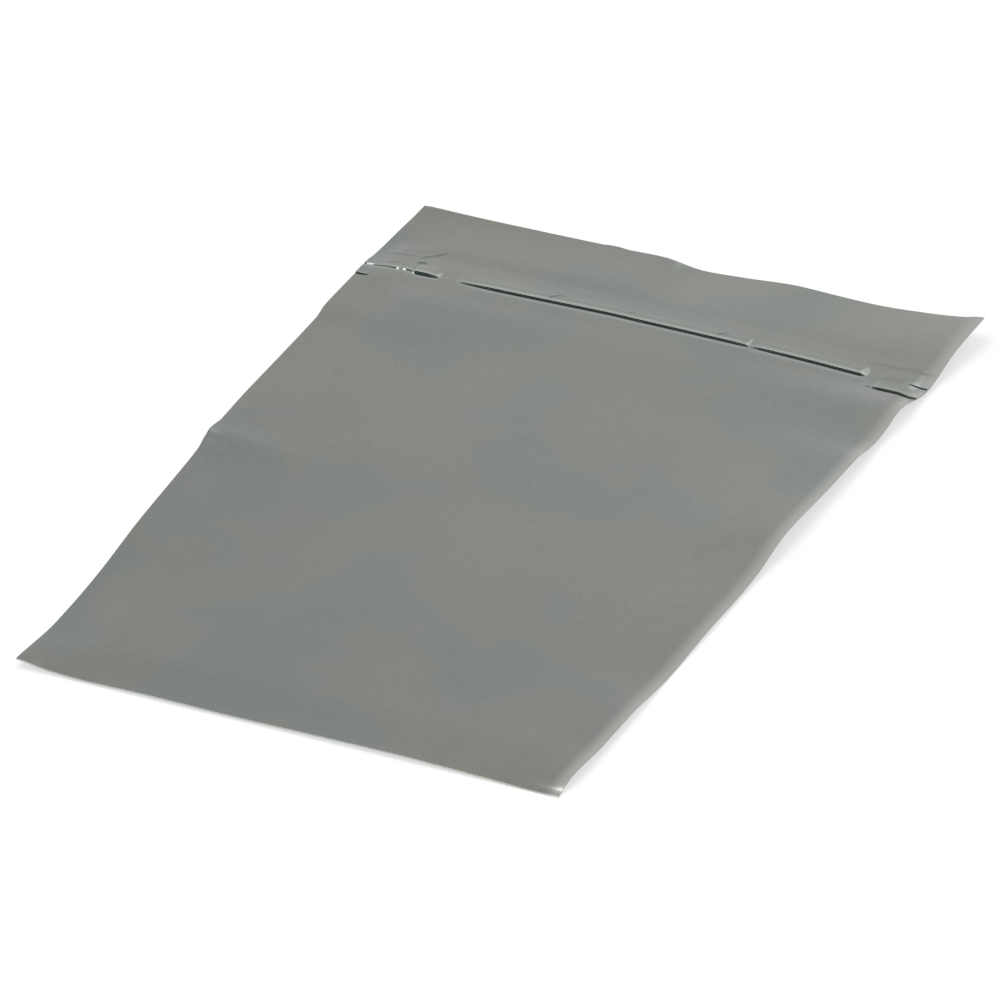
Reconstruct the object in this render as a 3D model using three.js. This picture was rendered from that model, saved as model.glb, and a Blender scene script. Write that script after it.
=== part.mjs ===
// Anti-static shielding bag, empty, lying on its back wall with the mouth towards +Y.
// One web of metallised film is folded across the bottom and welded up both sides.
// A press-to-close zip runs across it below the mouth: a strip with an arrow-headed rib
// on the front wall snaps into a strip with a hooked groove on the back wall.
import * as THREE from 'three';

// Bag, in millimetres
const bagWidth = 103; // across the mouth
const bagLength = 163; // from the fold to the mouth
const filmThickness = 0.076; // a 3 mil laminate
const weldWidth = 0.8; // each side is cut and welded in one pass
const foldDepth = 0.3; // the film is pressed solid along the fold
const foldRounding = 0.06; // how far the fold's outer corners are rounded back
const pocketGap = 0.45; // air between the two walls
const pocketSideReach = 12; // the walls part over this distance from a weld or the fold
const lipLength = 20.9; // from the zip to the mouth
const lipGap = 0.12; // how far the two lips stand apart
const frontLipSetback = 0.5; // the back wall shows past the front one by this much
const setbackEnd = 0.345; // from the left weld to this share of the mouth

// Zip, in millimetres
const zipSkew = 0.0165; // it is welded on slightly askew, by this much for each mm across
const skewReach = 60; // rows of the body follow the zip's skew up to this distance
const flangeThickness = 0.12;
const flangeBelow = 4.6; // from the zip's centre towards the fold
const flangeAbove = 4.9; // from the zip's centre towards the mouth
const stripSeat = 0.05; // clearance of a strip to the film and to the other flange
const stripInset = 1.2; // the strips stop this far inside the welds
const profileHeight = 0.44; // room between the flanges where the profiles snap together
const ribStemWidth = 0.18;
const ribHeadWidth = 0.46;
const ribTipWidth = 0.08;
const snapClearance = 0.04; // between the rib and the groove, all round
const grooveWall = 0.16;
const hookThickness = 0.12;
const endClearance = 0.07; // above the groove's hooks and below the rib's tip
const beadShoulder = 0.33; // flat film on each side of the profiles
const beadStep = 0.15; // width of the step up to the zip, on the side of the fold
const crushLeft = 17.2; // the profiles are crushed flat over this length at the left weld
const crushRight = 12.6; // and over this length at the right weld
const crushEase = 2; // length over which they rise out of the crushed stretch
const crushedShare = 0.15; // height left in a crushed profile

// How the bag lies: heights of the film's edges above the table, by share of each edge
const edgeReach = 32; // a lifted edge has settled to the table at this distance inwards
const leftRise = [
  [0, 1.4], [0.04, 0.9], [0.09, 0.1], [0.15, 0], [0.2, 0.2], [0.3, 1.28], [0.38, 1.55],
  [0.44, 1.9], [0.474, 3.4], [0.5, 2.6], [0.55, 2.55], [0.6, 2.25], [0.7, 1.65], [0.735, 1.5],
  [0.757, 2.6], [0.785, 2.1], [0.835, 1.75], [0.87, 1.25], [0.93, 0.65], [1, 0],
];
const rightRise = [
  [0, 0], [0.025, 1.2], [0.05, 1.6], [0.1, 1.2], [0.16, 1.2], [0.26, 0.1], [0.36, 0.6],
  [0.42, 0.5], [0.46, 0.75], [0.545, 2.7], [0.66, 2.1], [0.705, 2.1], [0.75, 1.15], [0.775, 1.35],
  [0.81, 2.4], [0.87, 0.6], [0.94, 2.85], [0.97, 3.5], [1, 3.8],
];
const foldRise = [
  [0, 1.4], [0.06, 0.6], [0.13, 0.3], [0.25, 0.5], [0.4, 0.4], [0.57, 0.6], [0.7, 0.7],
  [0.8, 0.5], [0.88, 0.27], [0.96, 0], [1, 0],
];
const mouthRise = [
  [0, 0], [0.08, 0], [0.21, 0.2], [0.3, 0.4], [0.36, 0.6], [0.43, 0.9], [0.5, 0],
  [0.57, 0.5], [0.68, 1.5], [0.8, 1.3], [0.9, 2], [0.96, 2.9], [1, 3.8],
];
// The stiff zip stays nearly straight between the lifted sides, so it bridges the table
const bridgeRise = [
  [0, 0], [0.05, 0], [0.16, 0.38], [0.3, 0.82], [0.5, 1.1], [0.655, 0.87], [0.79, 0.6],
  [0.88, 0.18], [0.94, 0], [1, 0],
];
const bridgeReach = 26; // the walls beside the zip have settled at this distance from it
// How far each side draws in from the full width where the film curls
const leftDraw = [
  [0, 1.25], [0.05, 1.4], [0.45, 0.4], [0.8, 0], [1, 0],
];
const rightDraw = [
  [0, 3.4], [0.07, 2.7], [0.45, 2.3], [0.8, 1.6], [0.87, 1.1], [0.93, 0.7], [1, 0],
];
// How far the mouth's edge draws back where the lip is wavy
const mouthDraw = [
  [0, 0], [0.34, 0], [0.37, 0.45], [0.7, 0.5], [0.85, 0.2], [0.95, 0], [1, 0],
];
// Shallow waves in the front wall: cycles across and along, phase in radians, height in mm
const frontWaves = [
  { across: 1.3, along: 0.9, phase: 0.6, height: 0.2 },
  { across: -1.1, along: 2.2, phase: 2.1, height: 0.14 },
  { across: 3.1, along: 1.6, phase: 4.0, height: 0.08 },
];

// Spacing of the mesh
const bodyRowSpacing = 5;
const columnSpacing = 5;
const lipRowSpacing = 4;

const filmColor = 0x878a86;
const stripColor = 0xa9aca8;

// A smooth curve through a few points that never swings past them
function curveThrough(points) {
  const slopeBetween = (k) => {
    const [x0, y0] = points[k];
    const [x1, y1] = points[k + 1];
    return (y1 - y0) / (x1 - x0);
  };
  const slopeAt = points.map((_, k) => {
    if (k === 0 || k === points.length - 1) return 0;
    const before = slopeBetween(k - 1);
    const after = slopeBetween(k);
    return before * after > 0 ? (2 * before * after) / (before + after) : 0;
  });
  return (x) => {
    let k = 0;
    while (k < points.length - 2 && x > points[k + 1][0]) k += 1;
    const [x0, y0] = points[k];
    const [x1, y1] = points[k + 1];
    const span = x1 - x0;
    const t = Math.min(Math.max((x - x0) / span, 0), 1);
    const rise = y0 * (1 + 2 * t) * (1 - t) ** 2 + y1 * t * t * (3 - 2 * t);
    return rise + span * t * (1 - t) * (slopeAt[k] * (1 - t) - slopeAt[k + 1] * t);
  };
}

const smoothStep = (from, to, x) => THREE.MathUtils.smoothstep(x, from, to);
const leftRiseAt = curveThrough(leftRise);
const rightRiseAt = curveThrough(rightRise);
const foldRiseAt = curveThrough(foldRise);
const mouthRiseAt = curveThrough(mouthRise);
const bridgeRiseAt = curveThrough(bridgeRise);
const leftDrawAt = curveThrough(leftDraw);
const rightDrawAt = curveThrough(rightDraw);
const mouthDrawAt = curveThrough(mouthDraw);

// Zip sizes that follow from the ones above
const grooveHalf = ribHeadWidth / 2 + snapClearance;
const profileHalf = grooveHalf + grooveWall;
const beadHalf = profileHalf + beadShoulder;
const zipY = bagLength / 2 - lipLength;
const stripStart = weldWidth + stripInset;

// Across is a share of the width, from the left weld, and along is a share of the length
const alongAt = (y) => y / bagLength + 0.5;
const zipShiftAt = (across) => zipSkew * (across - 0.5) * bagWidth;

function plan(across, y) {
  const along = alongAt(y);
  const left = -bagWidth / 2 + leftDrawAt(along);
  const right = bagWidth / 2 - rightDrawAt(along);
  return left + (right - left) * across;
}

// Height of the back wall's underside: the edges and the zip stand as listed, and the rest
// lies flat
function restHeight(across, y) {
  const along = alongAt(y);
  const settle = (distance) => Math.max(1 - distance / edgeReach, 0) ** 2;
  const nearLeft = settle(across * bagWidth);
  const nearRight = settle((1 - across) * bagWidth);
  const nearFold = settle(along * bagLength);
  const nearMouth = settle((1 - along) * bagLength);
  const sides = leftRiseAt(along) * nearLeft + rightRiseAt(along) * nearRight;
  const ends = foldRiseAt(across) * nearFold + mouthRiseAt(across) * nearMouth;
  const leftCorners = foldRiseAt(0) * nearFold + mouthRiseAt(0) * nearMouth;
  const rightCorners = foldRiseAt(1) * nearFold + mouthRiseAt(1) * nearMouth;
  const lying = sides + ends - nearLeft * leftCorners - nearRight * rightCorners;
  const fromZip = (y - zipY - zipShiftAt(across)) / bridgeReach;
  const bridge = bridgeRiseAt(across) * Math.max(1 - fromZip ** 2, 0) ** 2;
  return Math.max(lying, 0) + bridge;
}

// Share of the zip's full height, which the side welds crush
function zipShare(across) {
  const fromLeft = across * bagWidth;
  const fromRight = (1 - across) * bagWidth;
  const left = smoothStep(crushLeft - crushEase, crushLeft, fromLeft);
  const right = smoothStep(crushRight - crushEase, crushRight, fromRight);
  return crushedShare + (1 - crushedShare) * left * right;
}

// Share of the zip's height that the front wall shows at a distance from its centre:
// a short step on the side of the fold and a long slope on the side of the mouth
const beadShareAt = curveThrough([
  [-beadHalf - beadStep, 0],
  [-beadHalf, 1],
  [beadHalf, 1],
  [beadHalf + 0.15 * flangeAbove, 0.5],
  [beadHalf + 0.4 * flangeAbove, 0.25],
  [flangeAbove, 0.1],
]);

const flangePair = 2 * flangeThickness + 2 * stripSeat;

// Clear distance between the two walls
function wallGap(across, y) {
  const fromZip = y - zipY - zipShiftAt(across);
  const fromWeld = Math.min(across, 1 - across) * bagWidth - weldWidth;
  const fromFold = y + bagLength / 2 - foldDepth;
  const bead = beadShareAt(fromZip);
  const zipGap = flangePair + stripSeat * (1 - bead) + profileHeight * zipShare(across) * bead;
  const open = smoothStep(0, pocketSideReach, fromWeld) * smoothStep(0, pocketSideReach, fromFold);
  const turn = 2 * Math.PI;
  let wave = 0;
  for (const { across: a, along: b, phase, height } of frontWaves) {
    wave += (height / 2) * (1 + Math.sin(turn * (a * across + b * alongAt(y)) + phase));
  }
  const towardsMouth = smoothStep(0, lipLength, fromZip);
  const air = THREE.MathUtils.lerp(pocketGap, lipGap, towardsMouth);
  const looseGap = (air + wave * (1 - towardsMouth)) * open;
  const pastFlange = Math.max(-fromZip - flangeBelow, fromZip - flangeAbove, 0);
  const onZip = 1 - smoothStep(0, flangeAbove, pastFlange);
  return zipGap * onZip + looseGap * (1 - onZip);
}

// Even steps from one place to another, with both ends, no longer than a spacing
function steps(from, to, spacing) {
  const count = Math.max(Math.ceil((to - from) / spacing), 1);
  return Array.from({ length: count + 1 }, (_, k) => from + ((to - from) * k) / count);
}

// Places where the strips and both walls share their mesh lines, measured from the zip
const zipRows = [
  -flangeBelow,
  -beadHalf - beadStep,
  -beadHalf,
  beadHalf,
  beadHalf + 0.15 * flangeAbove,
  beadHalf + 0.4 * flangeAbove,
  flangeAbove,
];

const rowYs = [
  -bagLength / 2,
  ...steps(-bagLength / 2 + foldDepth, zipY - 2 * flangeBelow, bodyRowSpacing),
  ...zipRows.map((place) => zipY + place),
  ...steps(zipY + 1.5 * flangeAbove, bagLength / 2, lipRowSpacing),
];

// The rows near the zip run askew with it, and the ones further off are square to the bag
function shiftedRow(across, row) {
  const y = rowYs[row];
  const below = 1 - smoothStep(2 * flangeBelow, skewReach, zipY - y);
  const above = 1 - smoothStep(1.5 * flangeAbove, lipLength, y - zipY);
  const drawn = row === rowYs.length - 1 ? mouthDrawAt(across) : 0;
  return y + zipShiftAt(across) * below * above - drawn;
}

const columnPlaces = [
  0,
  weldWidth,
  ...steps(stripStart, crushLeft - crushEase, columnSpacing),
  crushLeft - crushEase / 2,
  ...steps(crushLeft, bagWidth - crushRight, columnSpacing),
  bagWidth - crushRight + crushEase / 2,
  ...steps(bagWidth - crushRight + crushEase, bagWidth - stripStart, columnSpacing),
  bagWidth - weldWidth,
  bagWidth,
];
const columns = columnPlaces.map((place) => place / bagWidth);

// A closed mesh under construction
class Shell {
  constructor() {
    this.positions = [];
    this.triangles = [];
  }

  point(x, y, z) {
    this.positions.push(x, y, z);
    return this.positions.length / 3 - 1;
  }

  triangle(a, b, c) {
    this.triangles.push(a, b, c);
  }

  // Corners run counter-clockwise seen from outside, and the cut joins the first and third
  quad(a, b, c, d) {
    this.triangle(a, b, c);
    this.triangle(a, c, d);
  }

  geometry() {
    const geometry = new THREE.BufferGeometry();
    geometry.setAttribute('position', new THREE.Float32BufferAttribute(this.positions, 3));
    geometry.setIndex(this.triangles);
    geometry.computeVertexNormals();
    return geometry;
  }
}

// The envelope: outer skin, inner skin and the cut edges of film at the mouth
function filmEnvelopeGeometry() {
  const shell = new Shell();
  const lastColumn = columns.length - 1;
  const lastRow = rowYs.length - 1;

  const layer = (heightAt, yAt) =>
    columns.map((across) =>
      rowYs.map((_, row) => {
        const y = yAt(across, row);
        return shell.point(plan(across, y), y, heightAt(across, y));
      }),
    );
  const frontY = (across, row) => {
    const shows = 1 - smoothStep(setbackEnd - 0.04, setbackEnd, across);
    return shiftedRow(across, row) - (row === lastRow ? frontLipSetback * shows : 0);
  };
  const roundedFoldY = (across, row) => shiftedRow(across, row) + (row === 0 ? foldRounding : 0);
  const gapAt = (across, y) => {
    const fromWeld = Math.min(across, 1 - across) * bagWidth;
    const inside = fromWeld > weldWidth + 1e-6 && y > rowYs[1] + 1e-6;
    return inside ? wallGap(across, y) : 0;
  };
  const backOuter = layer(restHeight, roundedFoldY);
  const frontOuter = layer(
    (across, y) => restHeight(across, y) + 2 * filmThickness + gapAt(across, y),
    (across, row) => (row === 0 ? roundedFoldY(across, row) : frontY(across, row)),
  );
  const inner = (heightAt, yAt) =>
    columns.map((across, column) =>
      rowYs.map((_, row) => {
        if (column === 0 || column === lastColumn || row === 0) return -1;
        const y = yAt(across, row);
        return shell.point(plan(across, y), y, heightAt(across, y));
      }),
    );
  const backInner = inner(
    (across, y) => restHeight(across, y) + filmThickness,
    shiftedRow,
  );
  // The skins meet at the welds and the fold, so the front one takes the back one's points
  const frontInner = inner(
    (across, y) => restHeight(across, y) + filmThickness + gapAt(across, y),
    frontY,
  );
  for (let row = 1; row <= lastRow; row += 1) {
    frontInner[1][row] = backInner[1][row];
    frontInner[lastColumn - 1][row] = backInner[lastColumn - 1][row];
  }
  for (let column = 1; column < lastColumn; column += 1) {
    frontInner[column][1] = backInner[column][1];
  }

  // Skins
  for (let i = 0; i < lastColumn; i += 1) {
    for (let j = 0; j < lastRow; j += 1) {
      const up = (skin) =>
        shell.quad(skin[i][j], skin[i + 1][j], skin[i + 1][j + 1], skin[i][j + 1]);
      const down = (skin) => {
        shell.triangle(skin[i][j], skin[i + 1][j + 1], skin[i + 1][j]);
        shell.triangle(skin[i][j], skin[i][j + 1], skin[i + 1][j + 1]);
      };
      up(frontOuter);
      down(backOuter);
      if (i > 0 && i < lastColumn - 1 && j > 0) {
        up(backInner);
        down(frontInner);
      }
    }
  }

  // Welded sides
  for (let j = 0; j < lastRow; j += 1) {
    shell.quad(backOuter[0][j + 1], backOuter[0][j], frontOuter[0][j], frontOuter[0][j + 1]);
    const [back, front] = [backOuter[lastColumn], frontOuter[lastColumn]];
    shell.quad(back[j], back[j + 1], front[j + 1], front[j]);
  }

  // Rounded fold, with one line of points along its crest
  const crest = columns.map((across) => {
    const y = -bagLength / 2;
    return shell.point(plan(across, y), y, restHeight(across, y) + filmThickness);
  });
  for (let i = 0; i < lastColumn; i += 1) {
    shell.quad(backOuter[i][0], backOuter[i + 1][0], crest[i + 1], crest[i]);
    shell.quad(crest[i], crest[i + 1], frontOuter[i + 1][0], frontOuter[i][0]);
  }
  shell.triangle(backOuter[0][0], crest[0], frontOuter[0][0]);
  shell.triangle(backOuter[lastColumn][0], frontOuter[lastColumn][0], crest[lastColumn]);

  // Cut edges at the mouth, which close into one at each weld
  const m = lastRow;
  for (let i = 1; i < lastColumn - 1; i += 1) {
    shell.quad(backOuter[i + 1][m], backOuter[i][m], backInner[i][m], backInner[i + 1][m]);
    shell.quad(frontInner[i + 1][m], frontInner[i][m], frontOuter[i][m], frontOuter[i + 1][m]);
  }
  const closeWeld = (edge, inside, facing) => {
    const meeting = backInner[inside][m];
    const put = (a, b, c) => (facing ? shell.triangle(a, b, c) : shell.triangle(a, c, b));
    put(backOuter[edge][m], meeting, backOuter[inside][m]);
    put(backOuter[edge][m], frontOuter[edge][m], meeting);
    put(frontOuter[edge][m], frontOuter[inside][m], meeting);
  };
  closeWeld(0, 1, true);
  closeWeld(lastColumn, lastColumn - 1, false);
  return shell.geometry();
}

// A zip strip swept across the bag. Each point of its section is [place, height, profile]:
// place is measured from the zip's centre towards the mouth, height is the film side's
// clearance and flange, and profile is the part of the height that the welds crush.
function zipStripGeometry(section, heightAt) {
  const shell = new Shell();
  const swept = columns.slice(2, -2);
  const rings = swept.map((across) =>
    section.map(([place, height, profile]) => {
      const y = zipY + zipShiftAt(across) + place;
      const z = heightAt(across, y, height + profile * zipShare(across));
      return shell.point(plan(across, y), y, z);
    }),
  );
  for (let i = 0; i < rings.length - 1; i += 1) {
    for (let k = 0; k < section.length; k += 1) {
      const next = (k + 1) % section.length;
      const [a, b] = [rings[i][k], rings[i][next]];
      const [c, d] = [rings[i + 1][next], rings[i + 1][k]];
      // The cut runs the same way as in the walls, so a strip and its wall stay parallel
      if (section[next][0] < section[k][0]) shell.quad(b, c, d, a);
      else shell.quad(a, b, c, d);
    }
  }
  const outline = section.map(([place, height, profile]) => {
    return new THREE.Vector2(place, height + profile);
  });
  for (const [a, b, c] of THREE.ShapeUtils.triangulateShape(outline, [])) {
    const turn = outline[b].clone().sub(outline[a]).cross(outline[c].clone().sub(outline[a]));
    const [p, q] = turn > 0 ? [b, c] : [c, b];
    const [first, last] = [rings[0], rings.at(-1)];
    shell.triangle(last[a], last[p], last[q]);
    shell.triangle(first[a], first[q], first[p]);
  }
  return shell.geometry();
}

// Half of a profile repeated as its mirror image, from the mouth side to the fold side
const mirrored = (half) => {
  const other = half.map(([place, height, profile]) => [-place, height, profile]);
  return [...half, ...other.reverse()];
};

// Groove strip, on the back wall: two walls with hooks that lean in over a channel
function zipGrooveGeometry() {
  const top = flangeThickness;
  const lipTop = profileHeight - endClearance;
  const mouthHalf = ribStemWidth / 2 + snapClearance;
  const half = [
    [profileHalf, top, 0],
    [profileHalf, top, lipTop - hookThickness / 2],
    [(profileHalf + grooveHalf) / 2, top, lipTop],
    [grooveHalf, top, lipTop],
    [mouthHalf, top, lipTop - hookThickness / 2],
    [mouthHalf, top, lipTop - hookThickness],
    [grooveHalf, top, lipTop - hookThickness],
    [grooveHalf, top, 0],
  ];
  const below = zipRows.filter((place) => place < -profileHalf).reverse();
  const above = zipRows.filter((place) => place > profileHalf).reverse();
  const section = [
    ...zipRows.map((place) => [place, 0, 0]),
    ...above.map((place) => [place, top, 0]),
    ...mirrored(half),
    ...below.map((place) => [place, top, 0]),
  ];
  return zipStripGeometry(section, (across, y, height) => {
    return restHeight(across, y) + filmThickness + stripSeat + height;
  });
}

// Rib strip, on the front wall: a stem with an arrow head that sits behind the hooks.
// Its heights are measured down from the front wall.
function zipRibGeometry() {
  const top = flangeThickness;
  const hookUnder = profileHeight - endClearance - hookThickness;
  const shoulder = profileHeight - hookUnder + snapClearance;
  const half = [
    [ribStemWidth / 2, top, 0],
    [ribStemWidth / 2, top, shoulder],
    [ribHeadWidth / 2, top, shoulder],
    [ribHeadWidth / 2, top, shoulder + snapClearance],
    [ribTipWidth / 2, top, profileHeight - endClearance],
  ];
  const below = zipRows.filter((place) => place < -profileHalf);
  const above = zipRows.filter((place) => place > profileHalf);
  const downward = [
    ...[...zipRows].reverse().map((place) => [place, 0, 0]),
    ...below.map((place) => [place, top, 0]),
    ...mirrored(half).reverse(),
    ...above.map((place) => [place, top, 0]),
  ];
  return zipStripGeometry(
    downward.map(([place, height, profile]) => [place, -height, -profile]),
    (across, y, height) => {
      const ceiling = restHeight(across, y) + filmThickness + wallGap(across, y);
      return ceiling - stripSeat + height;
    },
  );
}

function namedMesh(name, geometry, color, roughness, metalness) {
  const material = new THREE.MeshStandardMaterial({ color, roughness, metalness });
  const mesh = new THREE.Mesh(geometry, material);
  mesh.name = name;
  return mesh;
}

const bag = new THREE.Group();
bag.add(namedMesh('film_envelope', filmEnvelopeGeometry(), filmColor, 0.35, 0.9));
bag.add(namedMesh('zip_groove_strip', zipGrooveGeometry(), stripColor, 0.5, 0));
bag.add(namedMesh('zip_rib_strip', zipRibGeometry(), stripColor, 0.5, 0));

export default bag;
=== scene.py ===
# Anti-static shielding bag: the looks of an empty bag that lies flat, mouth towards +Y
import bmesh
import bpy
import math
import numpy as np
from mathutils import Matrix, Vector


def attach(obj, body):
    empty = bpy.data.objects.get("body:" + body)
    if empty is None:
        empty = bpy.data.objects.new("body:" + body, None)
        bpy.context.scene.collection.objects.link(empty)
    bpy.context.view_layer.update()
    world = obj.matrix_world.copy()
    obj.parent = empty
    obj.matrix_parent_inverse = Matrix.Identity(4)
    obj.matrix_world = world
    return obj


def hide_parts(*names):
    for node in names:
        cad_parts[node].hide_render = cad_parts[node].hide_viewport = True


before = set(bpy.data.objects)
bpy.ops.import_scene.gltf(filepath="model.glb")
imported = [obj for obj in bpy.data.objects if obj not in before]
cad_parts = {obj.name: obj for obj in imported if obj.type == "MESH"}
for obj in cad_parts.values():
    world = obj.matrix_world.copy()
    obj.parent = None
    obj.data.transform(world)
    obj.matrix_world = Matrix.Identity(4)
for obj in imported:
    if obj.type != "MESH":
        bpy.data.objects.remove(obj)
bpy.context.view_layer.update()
print("frame loaded:", sorted(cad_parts))

mm = 0.001

# the bag as it is made, in millimetres, the same values as the solids have
bag = {
    "width": 103.0,
    "length": 163.0,
    "film": 0.076,  # 3 mil laminate
    "weld": 0.8,
    "fold": 0.3,
    "foldRounding": 0.06,
    "pocketGap": 0.45,
    "pocketReach": 12.0,
    "lip": 20.9,  # zip to mouth
    "lipGap": 0.12,
    "lipSetback": 0.5,  # back wall shows past the front one
    "setbackTo": 0.345,
}

# how it lies: heights of the film's edges above the table, by share of each edge
lie = {
    "reach": 32.0,
    "left": [
        (0, 1.4), (0.04, 0.9), (0.09, 0.1), (0.15, 0), (0.2, 0.2), (0.3, 1.28),
        (0.38, 1.55), (0.44, 1.9), (0.474, 3.4), (0.5, 2.6), (0.55, 2.55), (0.6, 2.25),
        (0.7, 1.65), (0.738, 1.55), (0.754, 2.2), (0.785, 2.05), (0.835, 1.75), (0.87, 1.25),
        (0.93, 0.65), (1, 0),
    ],
    "right": [
        (0, 0), (0.025, 1.2), (0.05, 1.6), (0.1, 1.2), (0.16, 1.2), (0.26, 0.1),
        (0.36, 0.6), (0.42, 0.5), (0.46, 0.75), (0.545, 2.7), (0.66, 2.1), (0.705, 2.1),
        (0.75, 1.15), (0.775, 1.35), (0.81, 2.4), (0.87, 0.6), (0.94, 2.85), (0.97, 3.5),
        (1, 3.8),
    ],
    "fold": [
        (0, 1.4), (0.06, 0.6), (0.13, 0.3), (0.25, 0.5), (0.4, 0.4), (0.57, 0.6),
        (0.7, 0.7), (0.8, 0.5), (0.88, 0.27), (0.96, 0), (1, 0),
    ],
    "mouth": [
        (0, 0), (0.08, 0), (0.21, 0.2), (0.3, 0.4), (0.36, 0.6), (0.43, 0.9), (0.5, 0),
        (0.57, 0.5), (0.68, 1.5), (0.8, 1.3), (0.9, 2), (0.96, 2.9), (1, 3.8),
    ],
    "leftDraw": [
        (0, 1.25), (0.05, 1.4), (0.45, 0.4), (0.8, 0), (1, 0),
    ],
    "rightDraw": [
        (0, 3.4), (0.07, 2.7), (0.45, 2.3), (0.8, 1.6), (0.87, 1.1), (0.93, 0.7), (1, 0),
    ],
    "mouthDraw": [
        (0, 0), (0.34, 0), (0.37, 0.45), (0.7, 0.5), (0.85, 0.2), (0.95, 0),
        (1, 0),
    ],
    # shallow waves of the front wall: cycles across and along, phase, height
    "waves": [(1.3, 0.9, 0.6, 0.2), (-1.1, 2.2, 2.1, 0.14), (3.1, 1.6, 4.0, 0.08)],
    # the stiff zip stays nearly straight between the lifted sides, so it bridges the table
    "bridge": [
        (0, 0), (0.05, 0), (0.16, 0.38), (0.3, 0.82), (0.5, 1.1), (0.655, 0.87), (0.79, 0.6),
        (0.88, 0.18), (0.94, 0), (1, 0),
    ],
    "bridgeReach": 26.0,
}

zipper = {
    "skew": 0.0165,  # welded on slightly askew, mm for each mm across
    "flange": 0.12,
    "flangeBelow": 4.6,
    "flangeAbove": 4.9,
    "seat": 0.05,
    "inset": 1.2,
    "height": 0.44,  # room between the flanges where the profiles snap together
    "stem": 0.18,
    "head": 0.46,
    "tip": 0.08,
    "clearance": 0.04,
    "wall": 0.16,
    "hook": 0.12,
    "endClearance": 0.07,
    "step": 0.33,  # what the film shows of it
    # share of the step's height, by place across the bag: the welds crush the zip
    "heightAcross": [
        (-51.5, 0.6), (-46, 0.6), (-43.5, 0.7), (-42.8, 1.2), (-40, 1.1), (-36, 0.95),
        (-33, 1), (37.5, 1), (40, 0.85), (43.5, 0.7), (51.5, 0.75),
    ],
    # 1 where the film is creased sharply along the zip, 0 where it lies gently over it
    "creasedAcross": [
        (-51.5, 0.9), (-51, 0.9), (-50.6, 0.45), (-49.5, 0.45), (-47, 0.6), (-46.2, 0.7),
        (-45.7, 0.25), (-45.2, 0.25), (-44.9, 0.6), (-43.6, 0.65), (-43.3, 0.3), (-43, 0.3),
        (-42.8, 1), (-41, 1), (-39.4, 0.75), (-38.6, 0.35), (-38.3, 0.1), (-35.2, 0.1),
        (-34.7, 0.4), (-32, 0.75), (-28, 1), (14, 1), (17, 0.85), (17.6, 0.7), (17.95, 0.3),
        (18.4, 0.3), (18.8, 0.7), (22, 0.95), (26, 1), (38.2, 1), (38.9, 0.45), (39.8, 0.05),
        (46.0, 0.05), (46.9, 0.35), (47.8, 0.7), (48.8, 0.9), (51.5, 0.9),
    ],
    # the same for the flange's lower edge, which shows only near the welds
    "flangeAcross": [
        (-51.5, 0.9), (-50, 0.6), (-48.4, 0), (39.8, 0), (40.2, 0.25), (41.3, 0.3),
        (41.6, 0.15), (41.9, 0.5), (43, 0.85), (51.5, 0.95),
    ],
    # how far the crushed left end has slipped along the bag, and the flange's edge beside it
    "slip": [
        (-51.5, -1.5), (-50, -1.25), (-48, -0.7), (-46.2, -0.45), (-45.4, -0.2),
        (-44.8, 0.0), (-43.7, 0.05), (-43.1, -0.3), (-42.5, -0.2), (-40, -0.12), (-30, 0), (51.5, 0),
    ],
    "flangeSlip": [(-51.5, 0.2), (-48, 0.2), (-44, 0), (39, 0.6), (41.8, 0.6), (50.3, -0.05), (51.5, -0.05)],
    "inWeld": 0.75,  # share of the steps that goes on through the welds
    "endReach": 3.2,  # the crushed ends thin out towards the welds over this length
    "skewReach": 60.0,  # the film's rows follow the askew zip up to this distance
    "creaseAt": -0.77,  # middle of the sharp crease, from the zip's centre
    "gentleShare": 0.28,  # of the step's height, where the film isn't creased sharply
    "gentleFrom": -1.0,
    "gentleTo": 2.9,
    "flangeSlipPlaces": [-6.3, -5.3, -3.9, -2.3],  # the slip of the flange's edge fades in and out
}

# where the film looks different beside the zip, in mm from its centre: each mark comes in
# between the first two places and fades between the last two
# face and flangeFace: painted shade; crest, foot and flangeCrest: painted highlights; overStrip: lighter
# film over the flange
zipMarks = {
    "face": (-1.04, -0.97, -0.90, -0.86),
    "crest": (-0.87, -0.83, -0.5, 0.2),
    "footHighlight": (-2.2, -1.6, -1.1, -1.02),
    "overStrip": (-0.87, -0.80, 4.7, 5.1),
    "flangeFace": (-4.85, -4.74, -4.62, -4.57),
    "flangeCrest": (-4.6, -4.54, -4.2, -3.5),
}


def curveThrough(points):  # smooth, and never swings past its points
    x, y = np.array(points, float).T
    rise = np.diff(y) / np.diff(x)
    slope = np.zeros(len(x))
    both = rise[:-1] * rise[1:]
    same = both > 0
    slope[1:-1][same] = 2 * both[same] / (rise[:-1] + rise[1:])[same]

    def at(value):
        value = np.clip(value, x[0], x[-1])
        k = np.clip(np.searchsorted(x, value) - 1, 0, len(x) - 2)
        span = x[k + 1] - x[k]
        t = (value - x[k]) / span
        straight = y[k] * (1 + 2 * t) * (1 - t) ** 2 + y[k + 1] * t * t * (3 - 2 * t)
        return straight + span * t * (1 - t) * (slope[k] * (1 - t) - slope[k + 1] * t)

    return at


def smooth(low, high, value):
    t = np.clip((value - low) / (high - low), 0, 1)
    return t * t * (3 - 2 * t)


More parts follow.
